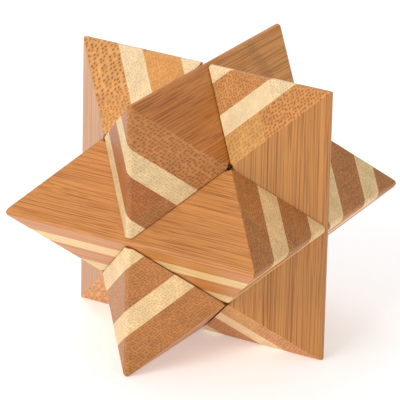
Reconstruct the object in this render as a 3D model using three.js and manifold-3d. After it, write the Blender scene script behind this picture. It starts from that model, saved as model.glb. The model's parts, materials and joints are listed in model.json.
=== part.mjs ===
// Six-stick burr puzzle: a star made of six square sticks, all cut to one shape, that
// lock in its middle. Each stick has wedge-shaped ends and two V notches, and is glued
// up from four layers of bamboo, dark and pale in turn. Millimetres, +Z up. The origin
// is the middle of the star's footprint, on the surface that it stands on.
import * as THREE from 'three';
import { mergeVertices } from 'three/addons/utils/BufferGeometryUtils.js';
import Module from 'manifold-3d';

const wasm = await Module();
wasm.setup();

// Driving dimensions
const stickSide = 25; // side of the square section
const clearance = 0.3; // gap between two sticks of the closed star
const outerDarkThickness = 7.1; // dark layer behind the broad flat-grain face
const outerPaleThickness = 4.8; // pale layer behind that one
const innerPaleThickness = 5; // last layer, on the opposite face
const glueLine = 0.2; // gap between two glued layers
const endOverhang = 0.15; // how far an end ridge passes the edges that it lines up with
const edgeEase = 0.4; // how far a long edge is sanded back
const endEase = 0.55; // how far an end ridge is sanded back
const tipRelief = 1.4; // how much of an end's thin inner corner is cut away
const cutMargin = 5; // how far a cutter runs past what it cuts

// In a stick's own frame X runs along the stick and +Z points away from the centre of
// the star. The section stands on its corner, so its diagonals lie along Y and Z.
const halfDiagonal = stickSide / Math.SQRT2;
const sectionCentre = (stickSide + clearance) / Math.SQRT2;
const outerEdge = sectionCentre + halfDiagonal;
const notchHalfDiagonal = halfDiagonal + clearance * Math.SQRT2;
const halfLength = outerEdge + endOverhang;
const innerFace = clearance / 2; // from the star's centre, square to the layers

// Across the layers, measured from the inner face
const outerDarkStart = stickSide - outerDarkThickness;
const outerPaleStart = outerDarkStart - glueLine - outerPaleThickness;
const innerDarkStart = innerPaleThickness + glueLine;

const darkBamboo = new THREE.MeshStandardMaterial({
  name: 'dark bamboo',
  color: 0xc48448,
  roughness: 0.45,
  metalness: 0,
});
const paleBamboo = new THREE.MeshStandardMaterial({
  name: 'pale bamboo',
  color: 0xecd29c,
  roughness: 0.45,
  metalness: 0,
});

const layers = [
  { name: 'outer_dark', from: outerDarkStart, to: stickSide + cutMargin, material: darkBamboo },
  { name: 'outer_pale', from: outerPaleStart, to: outerDarkStart - glueLine, material: paleBamboo },
  { name: 'inner_dark', from: innerDarkStart, to: outerPaleStart - glueLine, material: darkBamboo },
  { name: 'inner_pale', from: -cutMargin, to: innerPaleThickness, material: paleBamboo },
];

// The way that each stick points from the centre, and the way that its broad
// flat-grain side leans. Its length runs along width x out. Each was sawn from the glued
// board at its own depth, and layerShift is how much farther out its glue lines lie.
const sticks = [
  { name: 'front_stick', width: [0, 0, 1], out: [0, -1, 0], layerShift: 0.7 },
  { name: 'back_stick', width: [0, 0, -1], out: [0, 1, 0], layerShift: 0 },
  { name: 'upper_stick', width: [1, 0, 0], out: [0, 0, 1], layerShift: -0.4 },
  { name: 'lower_stick', width: [1, 0, 0], out: [0, 0, -1], layerShift: -0.6 },
  { name: 'right_stick', width: [0, -1, 0], out: [1, 0, 0], layerShift: 0.3 },
  { name: 'left_stick', width: [0, -1, 0], out: [-1, 0, 0], layerShift: 0 },
];

function toSolid(geometry) {
  const bare = geometry.clone();
  bare.deleteAttribute('normal');
  bare.deleteAttribute('uv');
  const merged = mergeVertices(bare);
  return new wasm.Manifold(new wasm.Mesh({
    numProp: 3,
    vertProperties: new Float32Array(merged.attributes.position.array),
    triVerts: new Uint32Array(merged.index.array),
  }));
}

function toGeometry(solid) {
  const mesh = solid.getMesh();
  const geometry = new THREE.BufferGeometry();
  geometry.setAttribute('position', new THREE.BufferAttribute(mesh.vertProperties, 3));
  geometry.setIndex(new THREE.BufferAttribute(mesh.triVerts, 1));
  geometry.computeVertexNormals();
  return geometry;
}

// A square standing on its corner. Each corner that has an ease is cut off by a flat
// at that depth: the two on the first axis, then the two on the second.
function diamond(half, firstEase, secondEase) {
  const outline = [
    [half - firstEase, firstEase],
    [secondEase, half - secondEase],
    [-secondEase, half - secondEase],
    [-half + firstEase, firstEase],
    [-half + firstEase, -firstEase],
    [-secondEase, -half + secondEase],
    [secondEase, -half + secondEase],
    [half - firstEase, -firstEase],
  ];
  return new THREE.Shape(outline.map(([a, b]) => new THREE.Vector2(a, b)));
}

function sharpDiamond(half) {
  const outline = [[half, 0], [0, half], [-half, 0], [0, -half]];
  return new THREE.Shape(outline.map(([a, b]) => new THREE.Vector2(a, b)));
}

// A shape drawn on the first two axes and extruded along the third, centred there
function prism(shape, length, first, second, along) {
  const geometry = new THREE.ExtrudeGeometry(shape, { depth: length, bevelEnabled: false });
  geometry.translate(0, 0, -length / 2);
  return geometry.applyMatrix4(new THREE.Matrix4().makeBasis(first, second, along));
}

const xAxis = new THREE.Vector3(1, 0, 0);
const yAxis = new THREE.Vector3(0, 1, 0);
const zAxis = new THREE.Vector3(0, 0, 1);

// The square bar, with its four long edges eased
function barBlank() {
  const section = diamond(halfDiagonal, edgeEase, edgeEase);
  const bar = prism(section, 2 * halfLength + cutMargin, yAxis, zAxis, xAxis);
  return toSolid(bar.translate(0, 0, sectionCentre));
}

// Seen from outside the star, both ends come to a right-angled wedge
function endOutline() {
  const plan = diamond(halfLength, endEase, 0);
  const depth = outerEdge + cutMargin;
  return toSolid(prism(plan, 2 * depth, xAxis, yAxis, zAxis));
}

// A neighbouring stick crosses each notch, so a notch is its section and the clearance
function notch(side) {
  const section = sharpDiamond(notchHalfDiagonal);
  const width = 2 * (halfDiagonal + cutMargin);
  const cutter = prism(section, width, zAxis, xAxis, yAxis);
  return toSolid(cutter.translate(side * sectionCentre, 0, 0));
}

// Between its end ridge and its notch, each end would run out to a splinter
function tipCutter(side) {
  const length = halfLength - sectionCentre + cutMargin;
  const height = tipRelief + cutMargin;
  const box = new THREE.BoxGeometry(length, 2 * halfDiagonal, height);
  box.translate(side * (sectionCentre + length / 2), 0, tipRelief - height / 2);
  return toSolid(box);
}

function wholeStick() {
  let stick = barBlank().intersect(endOutline());
  for (const side of [-1, 1]) {
    stick = stick.subtract(notch(side)).subtract(tipCutter(side));
  }
  return stick;
}

// One layer lies between two planes that are parallel to the flat-grain face
function layerOf(stick, layer, shift) {
  const thickness = layer.to - layer.from;
  const span = 2 * (halfLength + stickSide);
  const slab = new THREE.BoxGeometry(span, span, thickness);
  slab.translate(0, 0, innerFace + layer.from + shift + thickness / 2);
  slab.rotateX(-Math.PI / 4);
  return toGeometry(stick.intersect(toSolid(slab)));
}

const stickSolid = wholeStick();

function buildStick(stick) {
  const group = new THREE.Group();
  const width = new THREE.Vector3(...stick.width);
  const out = new THREE.Vector3(...stick.out);
  const along = new THREE.Vector3().crossVectors(width, out);
  group.setRotationFromMatrix(new THREE.Matrix4().makeBasis(along, width, out));
  for (const layer of layers) {
    const geometry = layerOf(stickSolid, layer, stick.layerShift);
    const mesh = new THREE.Mesh(geometry, layer.material);
    mesh.name = `${stick.name}_${layer.name}`;
    group.add(mesh);
  }
  return group;
}

// The star stands on the lower stick's outer edge and on the ends of the upright sticks
const centreHeight = Math.max(outerEdge - edgeEase, halfLength - endEase);
const puzzle = new THREE.Group();
puzzle.name = 'wooden_burr_puzzle';
puzzle.position.z = centreHeight;
for (const stick of sticks) {
  puzzle.add(buildStick(stick));
}

export default puzzle;
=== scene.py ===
import json
import random
from math import cos, pi, radians, sin, sqrt

import bpy
from mathutils import Matrix, Vector


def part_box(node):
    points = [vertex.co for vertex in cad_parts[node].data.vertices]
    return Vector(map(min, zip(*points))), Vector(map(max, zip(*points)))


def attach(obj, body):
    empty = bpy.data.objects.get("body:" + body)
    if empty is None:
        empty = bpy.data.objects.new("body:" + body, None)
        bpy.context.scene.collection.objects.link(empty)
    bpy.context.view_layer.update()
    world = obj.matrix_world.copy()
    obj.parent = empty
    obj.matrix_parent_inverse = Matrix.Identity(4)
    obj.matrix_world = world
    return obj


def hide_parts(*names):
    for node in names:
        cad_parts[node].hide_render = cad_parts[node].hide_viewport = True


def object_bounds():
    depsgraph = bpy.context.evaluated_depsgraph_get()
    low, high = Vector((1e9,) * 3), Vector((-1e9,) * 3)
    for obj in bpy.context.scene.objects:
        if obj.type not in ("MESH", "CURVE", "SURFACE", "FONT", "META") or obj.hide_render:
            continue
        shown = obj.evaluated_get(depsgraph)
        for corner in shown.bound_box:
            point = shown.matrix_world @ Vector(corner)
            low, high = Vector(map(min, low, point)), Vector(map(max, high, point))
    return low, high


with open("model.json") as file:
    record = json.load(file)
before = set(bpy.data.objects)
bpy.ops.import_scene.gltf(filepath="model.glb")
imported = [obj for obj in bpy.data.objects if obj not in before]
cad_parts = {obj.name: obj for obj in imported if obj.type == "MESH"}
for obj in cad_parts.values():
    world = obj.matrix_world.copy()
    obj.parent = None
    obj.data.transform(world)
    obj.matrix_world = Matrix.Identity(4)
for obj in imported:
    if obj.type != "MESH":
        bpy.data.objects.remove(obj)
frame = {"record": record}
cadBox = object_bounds()
bodies = frame["record"]["behaviour"]["bodies"]
mm = 0.001
root2 = sqrt(2)

# Each stick: the way its width and its outer edge point, how its bamboo grew, and colour factors
# for its long faces and its end grain; on the upper stick the long-face factors paint bounce
# light
sticks = {
    "front_stick": dict(
        width=(0, 0, 1), out=(0, -1, 0), runOut=0.020, seed=11, tintAndBounce=(0.99, 0.98, 0.93),
        endTint=dict(dark=(1.02, 0.97, 0.93), pale=(1.03, 0.95, 0.90))),
    "back_stick": dict(
        width=(0, 0, -1), out=(0, 1, 0), runOut=0.008, seed=23, tintAndBounce=(0.97, 1.0, 1.10),
        endTint=dict(dark=(1.15, 1.15, 1.25), pale=(1.15, 1.15, 1.20))),
    # the upper stick's two long-face colour factors paint bounce light: more orange at the front
    # end, greyer at the far end
    "upper_stick": dict(
        width=(1, 0, 0), out=(0, 0, 1), runOut=0.016, seed=37, tintAndBounce=(1.00, 0.86, 0.62),
        paintedBounceFarTint=(1.14, 1.26, 1.34), node=-18.0,
        endTint=dict(dark=(0.99, 0.95, 0.84), pale=(0.90, 0.91, 0.98))),
    "lower_stick": dict(
        width=(1, 0, 0), out=(0, 0, -1), runOut=0.012, seed=41, tintAndBounce=(0.98, 1.0, 1.0),
        endTint=dict(dark=(1.02, 1.0, 0.98), pale=(1.0, 1.0, 1.05))),
    "right_stick": dict(
        width=(0, -1, 0), out=(1, 0, 0), runOut=0.005, seed=59, tintAndBounce=(0.94, 0.99, 0.94),
        endTint=dict(dark=(1.35, 1.38, 1.40), pale=(1.06, 1.11, 1.30))),
    "left_stick": dict(
        width=(0, -1, 0), out=(-1, 0, 0), runOut=0.010, seed=67, tintAndBounce=(0.94, 1.02, 1.05),
        endTint=dict(dark=(1.47, 1.70, 2.05), pale=(1.04, 1.10, 1.32))),
}
layerNames = ["outer_dark", "outer_pale", "inner_dark", "inner_pale"]  # from the broad face in

# How far the sharp corners are sanded back; the sizes after it are read off the CAD boxes
rounding = dict(edge=0.4 * mm, end=0.55 * mm)
low, high = Vector(cadBox[0]), Vector(cadBox[1])
starCentre = (low + high) / 2
reach = (high.z - low.z) / 2
rightBoxes = [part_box(node) for node in bodies["right_stick"]]
halfDiagonal = max(box[1].y for box in rightBoxes) + rounding["edge"]
outerEdge = reach + rounding["edge"]
sectionCentre = outerEdge - halfDiagonal
side = halfDiagonal * root2
play = sectionCentre * root2 - side
halfLength = reach + rounding["end"]
print("stick side %.2f mm, play %.2f mm, length %.2f mm"
      % (side / mm, play / mm, 2 * halfLength / mm))

glueGap = 0.2 * mm  # between two layers in the CAD
seamHalf = 0.01 * mm  # half the gap that is left between them here


def seamsOf(stickName):
    # a layer's top edge lies where its glue plane meets the stick's outer face
    out = Vector(sticks[stickName]["out"])
    seams = []
    for layerName in layerNames[1:]:
        top = max((corner - starCentre).dot(out)
                  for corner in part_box(stickName + "_" + layerName))
        seams.append((2 * top - outerEdge) / root2 + glueGap / 2)
    return seams


# The stick is modelled lying along X, with its outer edge up
def pick(piece):
    bpy.ops.object.select_all(action="DESELECT")
    piece.select_set(True)
    bpy.context.view_layer.objects.active = piece


def addBlock(name, size, place, turn=(0, 0, 0)):
    bpy.ops.object.select_all(action="DESELECT")
    bpy.ops.mesh.primitive_cube_add(size=1, location=place, rotation=turn, scale=size)
    block = bpy.context.object
    block.name = name
    bpy.ops.object.transform_apply(location=True, rotation=True, scale=True)
    return block


def cutOff(piece, place, normal):
    # keeps what lies behind the plane and closes the cut
    pick(piece)
    bpy.ops.object.mode_set(mode="EDIT")
    bpy.ops.mesh.select_all(action="SELECT")
    bpy.ops.mesh.bisect(plane_co=place, plane_no=normal, use_fill=True, clear_outer=True)
    bpy.ops.object.mode_set(mode="OBJECT")


def carve(piece, cutter):
    pick(piece)
    cut = piece.modifiers.new("cut", "BOOLEAN")
    cut.operation = "DIFFERENCE"
    cut.solver = "EXACT"
    cut.object = cutter
    bpy.ops.object.modifier_apply(modifier=cut.name)
    bpy.data.objects.remove(cutter)


bar = dict(
    margin=6 * mm,
    tipRelief=1.4 * mm,     # the thin inner corner of each end is cut back this far
    creaseBevel=0.25 * mm,  # between an end face and a long face
    sanded=6,               # facets around a sanded edge
    smoothAngle=radians(35),
    areaWeight=100,         # large faces decide the shading
    cornerWear=0.75 * mm,   # the pointed side corners, where three sticks meet, are blunt
    cornerDepth=2 * mm,
)


def edgeWidth(normals):
    # the long edges, the ridge of each wedge end, and the rim of its two faces
    onEnd = [abs(normal.x) > 0.5 for normal in normals]
    if all(onEnd):
        return rounding["end"] / (root2 - 1)
    return bar["creaseBevel"] if any(onEnd) else rounding["edge"] / (root2 - 1)


def soften(stick):
    # rounds every edge of the uncut bar, each by its own width
    mesh = stick.data
    facesOf = {}
    for face in mesh.polygons:
        for key in face.edge_keys:
            facesOf.setdefault(key, []).append(face)
    widest = rounding["end"] / (root2 - 1)
    weights = mesh.attributes.new("bevel_weight_edge", "FLOAT", "EDGE")
    for edge in mesh.edges:
        normals = [face.normal for face in facesOf[edge.key]]
        weights.data[edge.index].value = edgeWidth(normals) / widest
    pick(stick)
    bevel = stick.modifiers.new("sanding", "BEVEL")
    bevel.limit_method = "WEIGHT"
    bevel.width = widest
    bevel.segments = bar["sanded"]
    bevel.use_clamp_overlap = False
    bpy.ops.object.modifier_apply(modifier=bevel.name)
    mesh.attributes.remove(mesh.attributes["bevel_weight_edge"])


def wearCorners(stick):
    # each pointed side corner is worn off, which leaves a three-cornered pit where it
    # meets its two neighbours
    for x in (-1, 1):
        for y in (-1, 1):
            corner = Vector((x, y, 1)) * (outerEdge / 2)
            inward = corner.normalized()
            outward = Vector((-x, 2 * y, -1)).normalized()
            sideways = outward.cross(inward)
            turn = Matrix((sideways, outward, inward)).transposed().to_euler()
            bpy.ops.object.select_all(action="DESELECT")
            bpy.ops.mesh.primitive_cylinder_add(
                vertices=3, radius=2 * bar["cornerWear"], depth=2 * bar["cornerDepth"],
                location=corner, rotation=turn)
            bpy.ops.object.transform_apply(location=True, rotation=True, scale=True)
            carve(stick, bpy.context.object)


def makeBar():
    margin = bar["margin"]
    stick = addBlock("stick", (2 * halfLength + margin, side, side),
                     (0, 0, sectionCentre), (pi / 4, 0, 0))
    for along in (-1, 1):
        for across in (-1, 1):
            cutOff(stick, (along * halfLength, 0, 0), (along, across, 0))
    soften(stick)
    notchSide = side + 2 * play
    for along in (-1, 1):
        carve(stick, addBlock("notch", (notchSide, 2 * (halfDiagonal + margin), notchSide),
                              (along * sectionCentre, 0, 0), (0, pi / 4, 0)))
        tipLength = halfLength - sectionCentre + margin
        tipHeight = bar["tipRelief"] + margin
        carve(stick, addBlock("tip", (tipLength, 2 * halfDiagonal, tipHeight),
                              (along * (sectionCentre + tipLength / 2), 0,
                               bar["tipRelief"] - tipHeight / 2)))
    wearCorners(stick)
    return stick


layerUp = Vector((0, 1, 1)).normalized()


def finishShading(piece):
    pick(piece)
    bpy.ops.object.shade_smooth_by_angle(angle=bar["smoothAngle"])
    weighted = piece.modifiers.new("flats", "WEIGHTED_NORMAL")
    weighted.keep_sharp = True
    weighted.weight = bar["areaWeight"]
    bpy.ops.object.modifier_apply(modifier=weighted.name)


def sliceLayer(stick, name, seams, index):
    # one layer of the stick, closed along its glue seams
    pick(stick)
    bpy.ops.object.duplicate()
    layer = bpy.context.object
    layer.name = name
    if index > 0:
        cutOff(layer, layerUp * (seams[index - 1] - seamHalf), layerUp)
    if index < len(seams):
        cutOff(layer, layerUp * (seams[index] + seamHalf), -layerUp)
    finishShading(layer)
    return layer


masterStick = makeBar()
print("stick modelled, %d faces" % len(masterStick.data.polygons))


def stickFrame(name):
    width, out = Vector(sticks[name]["width"]), Vector(sticks[name]["out"])
    return Matrix((width.cross(out), width, out)).transposed()


class Strand:
    # a socket of a material; sums and products of strands become Math nodes
    def __init__(self, tree, socket=None):
        self.tree = tree
        self.socket = socket

    def make(self, kind, settings, inputs, output=0):
        node = self.tree.nodes.new("ShaderNode" + kind)
        for key, value in settings.items():
            setattr(node, key, value)
        for key, value in inputs.items():
            if isinstance(value, Strand):
                self.tree.links.new(value.socket, node.inputs[key])
            else:
                node.inputs[key].default_value = value
        return Strand(self.tree, node.outputs[output])

    def beside(self, output):
        # another output of the same node
        return Strand(self.tree, self.socket.node.outputs[output])

    def maths(self, operation, first, second):
        return self.make("Math", dict(operation=operation), {0: first, 1: second})

    def __add__(self, other):
        return self.maths("ADD", self, other)

    def __radd__(self, other):
        return self.maths("ADD", other, self)

    def __sub__(self, other):
        return self.maths("SUBTRACT", self, other)

    def __rsub__(self, other):
        return self.maths("SUBTRACT", other, self)

    def __mul__(self, other):
        return self.maths("MULTIPLY", self, other)

    def __rmul__(self, other):
        return self.maths("MULTIPLY", other, self)

    def __truediv__(self, other):
        return self.maths("DIVIDE", self, other)

    def __gt__(self, other):
        return self.maths("GREATER_THAN", self, other)

    def size(self):
        return self.maths("ABSOLUTE", self, 0)

    def ease(self, start, end):
        # 0 below start, 1 above end, smooth between
        return self.make("MapRange", dict(interpolation_type="SMOOTHSTEP"),
                         {0: self, 1: start, 2: end})

    def between(self, first, second):
        # first where this is 0, second where it is 1
        return first + self * (second - first)


def point(x, y, z=0.0):
    strand = next(value for value in (x, y, z) if isinstance(value, Strand))
    return strand.make("CombineXYZ", {}, {0: x, 1: y, 2: z})


# Cloudy patterns: millimetres along and across the fibres, and the axis along which every
# layer takes another part of the pattern
patterns = dict(
    wander=dict(length=40, width=9, moved=0, detail=1.0, rough=0.5),
    lift=dict(length=45, width=5, moved=1, detail=1.0, rough=0.5),
    fibre=dict(length=50, width=0.26, moved=1, detail=3.0, rough=0.6),
    band=dict(length=60, width=2.6, moved=2, detail=2.0, rough=0.5),
    fleck=dict(length=0.4, width=0.35, moved=2, detail=2.0, rough=0.7),
    speck=dict(length=1.3, width=0.5, moved=0, detail=1.0, rough=0.5),
)


def cloud(name, x, y, z, shift):
    pattern = patterns[name]
    place = [x / pattern["length"], y / pattern["width"], z / pattern["width"]]
    place[pattern["moved"]] = place[pattern["moved"]] + shift
    place = point(*place)
    return place.make("TexNoise", dict(noise_dimensions="3D"),
                      {"Vector": place, "Scale": 1.0, "Detail": pattern["detail"],
                       "Roughness": pattern["rough"]})


def blend(amount, first, second):
    return amount.make("Mix", dict(data_type="RGBA", clamp_factor=True),
                       {0: amount, 6: first, 7: second}, output=2)


def colour(red, green, blue):
    return (red, green, blue, 1)


def grey(value):
    return colour(value, value, value)


tones = dict(
    dark=dict(ground=colour(0.63, 0.250, 0.058), streak=colour(0.36, 0.105, 0.008),
              endGround=colour(0.46, 0.172, 0.033), endDot=colour(0.16, 0.046, 0.005),
              net=colour(0.58, 0.30, 0.11), burnt=colour(0.16, 0.060, 0.022)),
    pale=dict(ground=colour(0.84, 0.60, 0.28), streak=colour(0.66, 0.40, 0.15),
              endGround=colour(0.80, 0.56, 0.26), endDot=colour(0.52, 0.29, 0.10),
              net=colour(0.88, 0.69, 0.40), burnt=colour(0.50, 0.28, 0.10)),
)

# Each layer is two strips glued side by side. The joint is millimetres from the middle of
# the layer, pitch is the spacing of the fibre bundles in each strip and dots their strength,
# tone tints a strip, mostly on its end grain. A layer with no row here has its joint at a
# random place.
plainLayer = dict(pitch=(0.60, 0.56), tone=(grey(1.0), grey(1.04)), dots=(0.9, 0.8))
layerLooks = {
    "left_stick_outer_dark": dict(
        joint=5.5, pitch=(0.95, 0.70), tone=(grey(1.0), grey(1.05)), dots=(1.15, 0.9)),
    "left_stick_inner_dark": dict(
        joint=1.5, pitch=(0.56, 0.56), tone=(grey(0.97), grey(1.07)), dots=(1.1, 0.5)),
    "right_stick_outer_dark": dict(
        joint=4.0, pitch=(0.71, 0.73), tone=(grey(1.0), colour(1.05, 1.28, 1.45)),
        dots=(1.1, 0.6)),
    "right_stick_outer_pale": dict(
        joint=0.5, pitch=(0.55, 0.55), tone=(grey(0.98), grey(1.03)), dots=(1.0, 0.3)),
    "right_stick_inner_dark": dict(
        joint=-0.5, pitch=(0.62, 0.55), tone=(grey(1.03), grey(0.97)), dots=(0.5, 1.0)),
    "upper_stick_outer_dark": dict(
        joint=-1.5, pitch=(0.78, 0.72), tone=(grey(1.0), grey(1.03)), dots=(0.9, 1.0)),
    "upper_stick_inner_dark": dict(
        joint=9.0, pitch=(0.56, 0.56), tone=(colour(0.90, 0.72, 0.52), grey(0.88)),
        dots=(0.9, 0.9)),
}

# How the wood is drawn. Lengths are millimetres, except bumpDepth
wood = dict(
    looseJoint=6, shiftRange=50,      # where an unlisted joint and a pattern may lie
    wanderBy=0.7, liftBy=0.9,         # how far the fibres stray, in millimetres
    bundleHeight=1.1, scatter=0.6,    # how tall a bundle is for its width, how irregular
    stripStep=(17.3, 9.1),            # the second strip starts elsewhere in the pattern
    core=(0.12, 0.34), net=(0.42, 0.66), ownStrength=(0.6, 0.4),
    endGrain=(0.25, 0.6),             # how far a face turns from a long face to an end face
    fibreEdge=(0.46, 0.62), lineDots=0.5, lineFibres=0.72,
    endNet=0.3, endDots=0.9, endFlecks=0.4,
    speckEdge=(0.75, 0.80), burn=0.7,
    ringEdge=(0.5, 3.5), ringWander=9, ringFlecks=(0.35, 0.75),
    jointEdge=(0.03, 0.10), jointShade=0.15,
    shade=0.86, bandShade=0.28, endBandShade=0.2,
    paintedBounceSpan=(-20, 22),                # between these places the long faces go from the far colour factor to the stick's own; on the upper stick this paints bounce light, more orange towards the front end and greyer towards the far end
    longTone=0.2,                     # how much of a strip's tone shows on long faces
    rough=0.42, endRough=0.10, fibreRough=0.12,
    fibreRelief=0.6, dotRelief=0.6, bumpStrength=0.3, bumpDepth=0.03 * mm,
    coat=0.15, coatRough=0.3, refraction=1.5,
)


def bambooMaterial(stickName, layerName):
    name = stickName + "_" + layerName
    stick = sticks[stickName]
    kind = "dark" if "dark" in layerName else "pale"
    tone = tones[kind]
    dice = random.Random(name)
    look = dict(plainLayer, joint=dice.uniform(-wood["looseJoint"], wood["looseJoint"]))
    look.update(layerLooks.get(name, {}))
    material = bpy.data.materials.new(name)
    material.use_nodes = True
    tree = material.node_tree
    shader = tree.nodes["Principled BSDF"]
    here = Strand(tree).make("TexCoord", {}, {}, "Object")

    # turned so that X runs along the stick, Y across a layer and Z through the layers
    axes = stickFrame(stickName)
    along = axes @ Vector((1, 0, 0))
    across = axes @ Vector((0, 1, -1)).normalized()
    depth = axes @ Vector((0, 1, 1)).normalized()
    turn = Matrix((along, across, depth))
    middle = starCentre + axes @ Vector((0, 0, sectionCentre))
    placed = here.make("Mapping", dict(vector_type="POINT"), {
        "Vector": here,
        "Location": -(turn @ middle) / mm,
        "Rotation": turn.to_euler(),
        "Scale": (1 / mm, 1 / mm, 1 / mm),
    })
    x = placed.make("SeparateXYZ", {}, {0: placed})
    y, z = x.beside(1), x.beside(2)
    shift = stick["seed"] + dice.uniform(0, wood["shiftRange"])
    strip = y > look["joint"]

    # fibres wander a little and run out of the face at a slight angle
    wander = cloud("wander", x, y, z, shift)
    lift = cloud("lift", x, y, z, shift)
    y1 = y + (wander - 0.5) * wood["wanderBy"]
    z1 = z + (lift - 0.5) * wood["liftBy"] + x * stick["runOut"]

    # fibre bundles: dark cores, each in a lighter ring
    pitch = strip.between(*look["pitch"])
    stepY, stepZ = wood["stripStep"]
    cell = point(y1 / pitch + strip * stepY + shift,
                 z1 / (pitch * wood["bundleHeight"]) + strip * stepZ)
    voronoi = dict(voronoi_dimensions="2D", feature="F1")
    bundles = cell.make("TexVoronoi", voronoi,
                        {"Vector": cell, "Scale": 1.0, "Randomness": wood["scatter"]}, "Distance")
    own = bundles.beside("Color").make("SeparateColor", {}, {0: bundles.beside("Color")})
    strength = strip.between(*look["dots"])
    core = 1 - bundles.ease(*wood["core"])
    least, extra = wood["ownStrength"]
    dot = core * (least + own * extra) * strength
    net = bundles.ease(*wood["net"]) * strength

    # fine fibres between the bundles, and slow changes of tone
    fibre = cloud("fibre", x, y1, z1, shift)
    band = cloud("band", x, y1, z1, shift)
    fleck = cloud("fleck", x, y, z, shift)

    normal = here.beside("Normal")
    facing = normal.make("VectorMath", dict(operation="DOT_PRODUCT"),
                         {0: normal, 1: tuple(along)}, "Value")
    endGrain = facing.size().ease(*wood["endGrain"])

    lines = dot * wood["lineDots"] + fibre.ease(*wood["fibreEdge"]) * wood["lineFibres"]
    longColour = blend(lines, tone["ground"], tone["streak"])
    endColour = blend(net * wood["endNet"], tone["endGround"], tone["net"])
    dotted = dot * wood["endDots"] + (fleck - 0.5) * wood["endFlecks"]
    endColour = blend(dotted, endColour, tone["endDot"])
    grain = blend(endGrain, longColour, endColour)
    burns = cloud("speck", x, y, z, shift).ease(*wood["speckEdge"]) * wood["burn"]
    if "node" in stick:
        # a node of the cane: a dark smudge across the fibres
        away = (x - stick["node"] + (wander - 0.5) * wood["ringWander"]).size()
        ring = 1 - away.ease(*wood["ringEdge"])
        smudge = ring * fleck.ease(*wood["ringFlecks"]) * (1 - endGrain)
        burns = burns + smudge * wood["burn"]
    grain = blend(burns, grain, tone["burnt"])
    joint = 1 - (y - look["joint"]).size().ease(*wood["jointEdge"])
    banded = wood["shade"] + band * wood["bandShade"]
    banded = banded + endGrain * (band - 0.5) * wood["endBandShade"]
    shade = banded * (1 - joint * wood["jointShade"])
    # on the upper stick this blend paints bounce light on the long faces, more orange at the
    # front end and greyer at the far end
    paintedBounceFarTint = stick.get("paintedBounceFarTint", stick["tintAndBounce"])
    longTintAndBounce = blend(x.ease(*wood["paintedBounceSpan"]), colour(*paintedBounceFarTint), colour(*stick["tintAndBounce"]))
    tintAndBounce = blend(endGrain, longTintAndBounce, colour(*stick["endTint"][kind]))
    toneShare = wood["longTone"] + (1 - wood["longTone"]) * endGrain
    stripTone = blend(toneShare, grey(1.0), blend(strip, *look["tone"]))
    tinted = tintAndBounce.make("VectorMath", dict(operation="MULTIPLY"), {0: tintAndBounce, 1: stripTone})
    tinted = grain.make("VectorMath", dict(operation="MULTIPLY"), {0: grain, 1: tinted})
    toned = tinted.make("VectorMath", dict(operation="SCALE"), {0: tinted, "Scale": shade})
    tree.links.new(toned.socket, shader.inputs["Base Color"])

    rough = wood["rough"] + endGrain * wood["endRough"] + (fibre - 0.5) * wood["fibreRough"]
    tree.links.new(rough.socket, shader.inputs["Roughness"])
    relief = (fibre - 0.5) * wood["fibreRelief"] - dot * wood["dotRelief"]
    bump = relief.make("Bump", {}, {"Strength": wood["bumpStrength"],
                                    "Distance": wood["bumpDepth"], "Height": relief})
    tree.links.new(bump.socket, shader.inputs["Normal"])
    shader.inputs["Coat Weight"].default_value = wood["coat"]
    shader.inputs["Coat Roughness"].default_value = wood["coatRough"]
    shader.inputs["IOR"].default_value = wood["refraction"]
    return material


def placeStick(stickName):
    seams = seamsOf(stickName)
    print(stickName, "glue seams at", [round(seam / mm, 2) for seam in seams])
    for index, layerName in enumerate(layerNames):
        node = stickName + "_" + layerName
        piece = sliceLayer(masterStick, node + "_bamboo", seams, index)
        piece.matrix_world = Matrix.Translation(starCentre) @ stickFrame(stickName).to_4x4()
        bpy.ops.object.transform_apply(location=True, rotation=True, scale=True)
        piece.data.name = piece.name
        piece.data.materials.append(bambooMaterial(stickName, layerName))
        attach(piece, stickName)
        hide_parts(node)


for stickName in sticks:
    placeStick(stickName)
bpy.data.objects.remove(masterStick)
print("six sticks placed")


studio = dict(
    floorSize=3.0,
    floorColour=grey(0.90),
    worldColour=grey(1.0),
    worldStrength=0.55,
    floorRough=0.8,
    floorGlow=0.35,
    nearest=0.05,
    lamps=[
        dict(name="key", place=(-0.16, -0.95, 0.65), size=0.6, power=6.0),
        dict(name="top", place=(-0.55, 0.35, 0.85), size=0.7, power=2.5),
    ],
)


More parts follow.
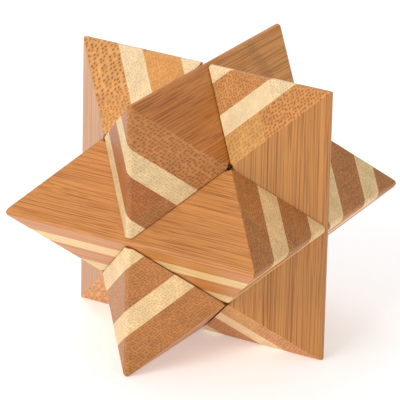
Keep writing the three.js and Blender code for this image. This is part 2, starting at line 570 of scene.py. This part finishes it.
def makeFloor():
    bpy.ops.object.select_all(action="DESELECT")
    bpy.ops.mesh.primitive_plane_add(size=studio["floorSize"], location=(0, 0, 0))
    floor = bpy.context.object
    floor.name = "floor"
    paper = bpy.data.materials.new("floor paper")
    paper.use_nodes = True
    shader = paper.node_tree.nodes["Principled BSDF"]
    shader.inputs["Base Color"].default_value = studio["floorColour"]
    shader.inputs["Roughness"].default_value = studio["floorRough"]
    shader.inputs["Emission Color"].default_value = grey(1.0)
    shader.inputs["Emission Strength"].default_value = studio["floorGlow"]
    floor.data.materials.append(paper)


def makeLamps():
    for lamp in studio["lamps"]:
        bpy.ops.object.light_add(type="AREA", location=lamp["place"])
        light = bpy.context.object
        light.name = lamp["name"]
        light.data.size = lamp["size"]
        light.data.energy = lamp["power"]
        aim = starCentre - Vector(lamp["place"])
        light.rotation_euler = aim.to_track_quat("-Z", "Y").to_euler()


def makeSky():
    world = bpy.data.worlds.new("studio")
    world.use_nodes = True
    backdrop = world.node_tree.nodes["Background"]
    backdrop.inputs["Color"].default_value = studio["worldColour"]
    backdrop.inputs["Strength"].default_value = studio["worldStrength"]
    bpy.context.scene.world = world


view = dict(azimuth=30.5, elevation=22.2, roll=1.3, distance=0.955,
            aside=-0.78 * mm, above=-0.64 * mm, pictureWidth=0.0985)


def makeCamera():
    around, up, tilt = (radians(view[key]) for key in ("azimuth", "elevation", "roll"))
    back = Vector((sin(around) * cos(up), -cos(around) * cos(up), sin(up)))
    right = Vector((cos(around), sin(around), 0))
    top = back.cross(right)
    turnedRight = right * cos(tilt) + top * sin(tilt)
    turnedTop = top * cos(tilt) - right * sin(tilt)
    aim = starCentre + turnedRight * view["aside"] + turnedTop * view["above"]
    bpy.ops.object.camera_add(location=aim + back * view["distance"])
    camera = bpy.context.object
    camera.rotation_euler = Matrix((turnedRight, turnedTop, back)).transposed().to_euler()
    camera.data.lens = camera.data.sensor_width * view["distance"] / view["pictureWidth"]
    camera.data.clip_start = studio["nearest"]
    bpy.context.scene.camera = camera


makeFloor()
makeLamps()
makeSky()
makeCamera()
bpy.context.scene.view_settings.view_transform = "Standard"
print("studio ready")
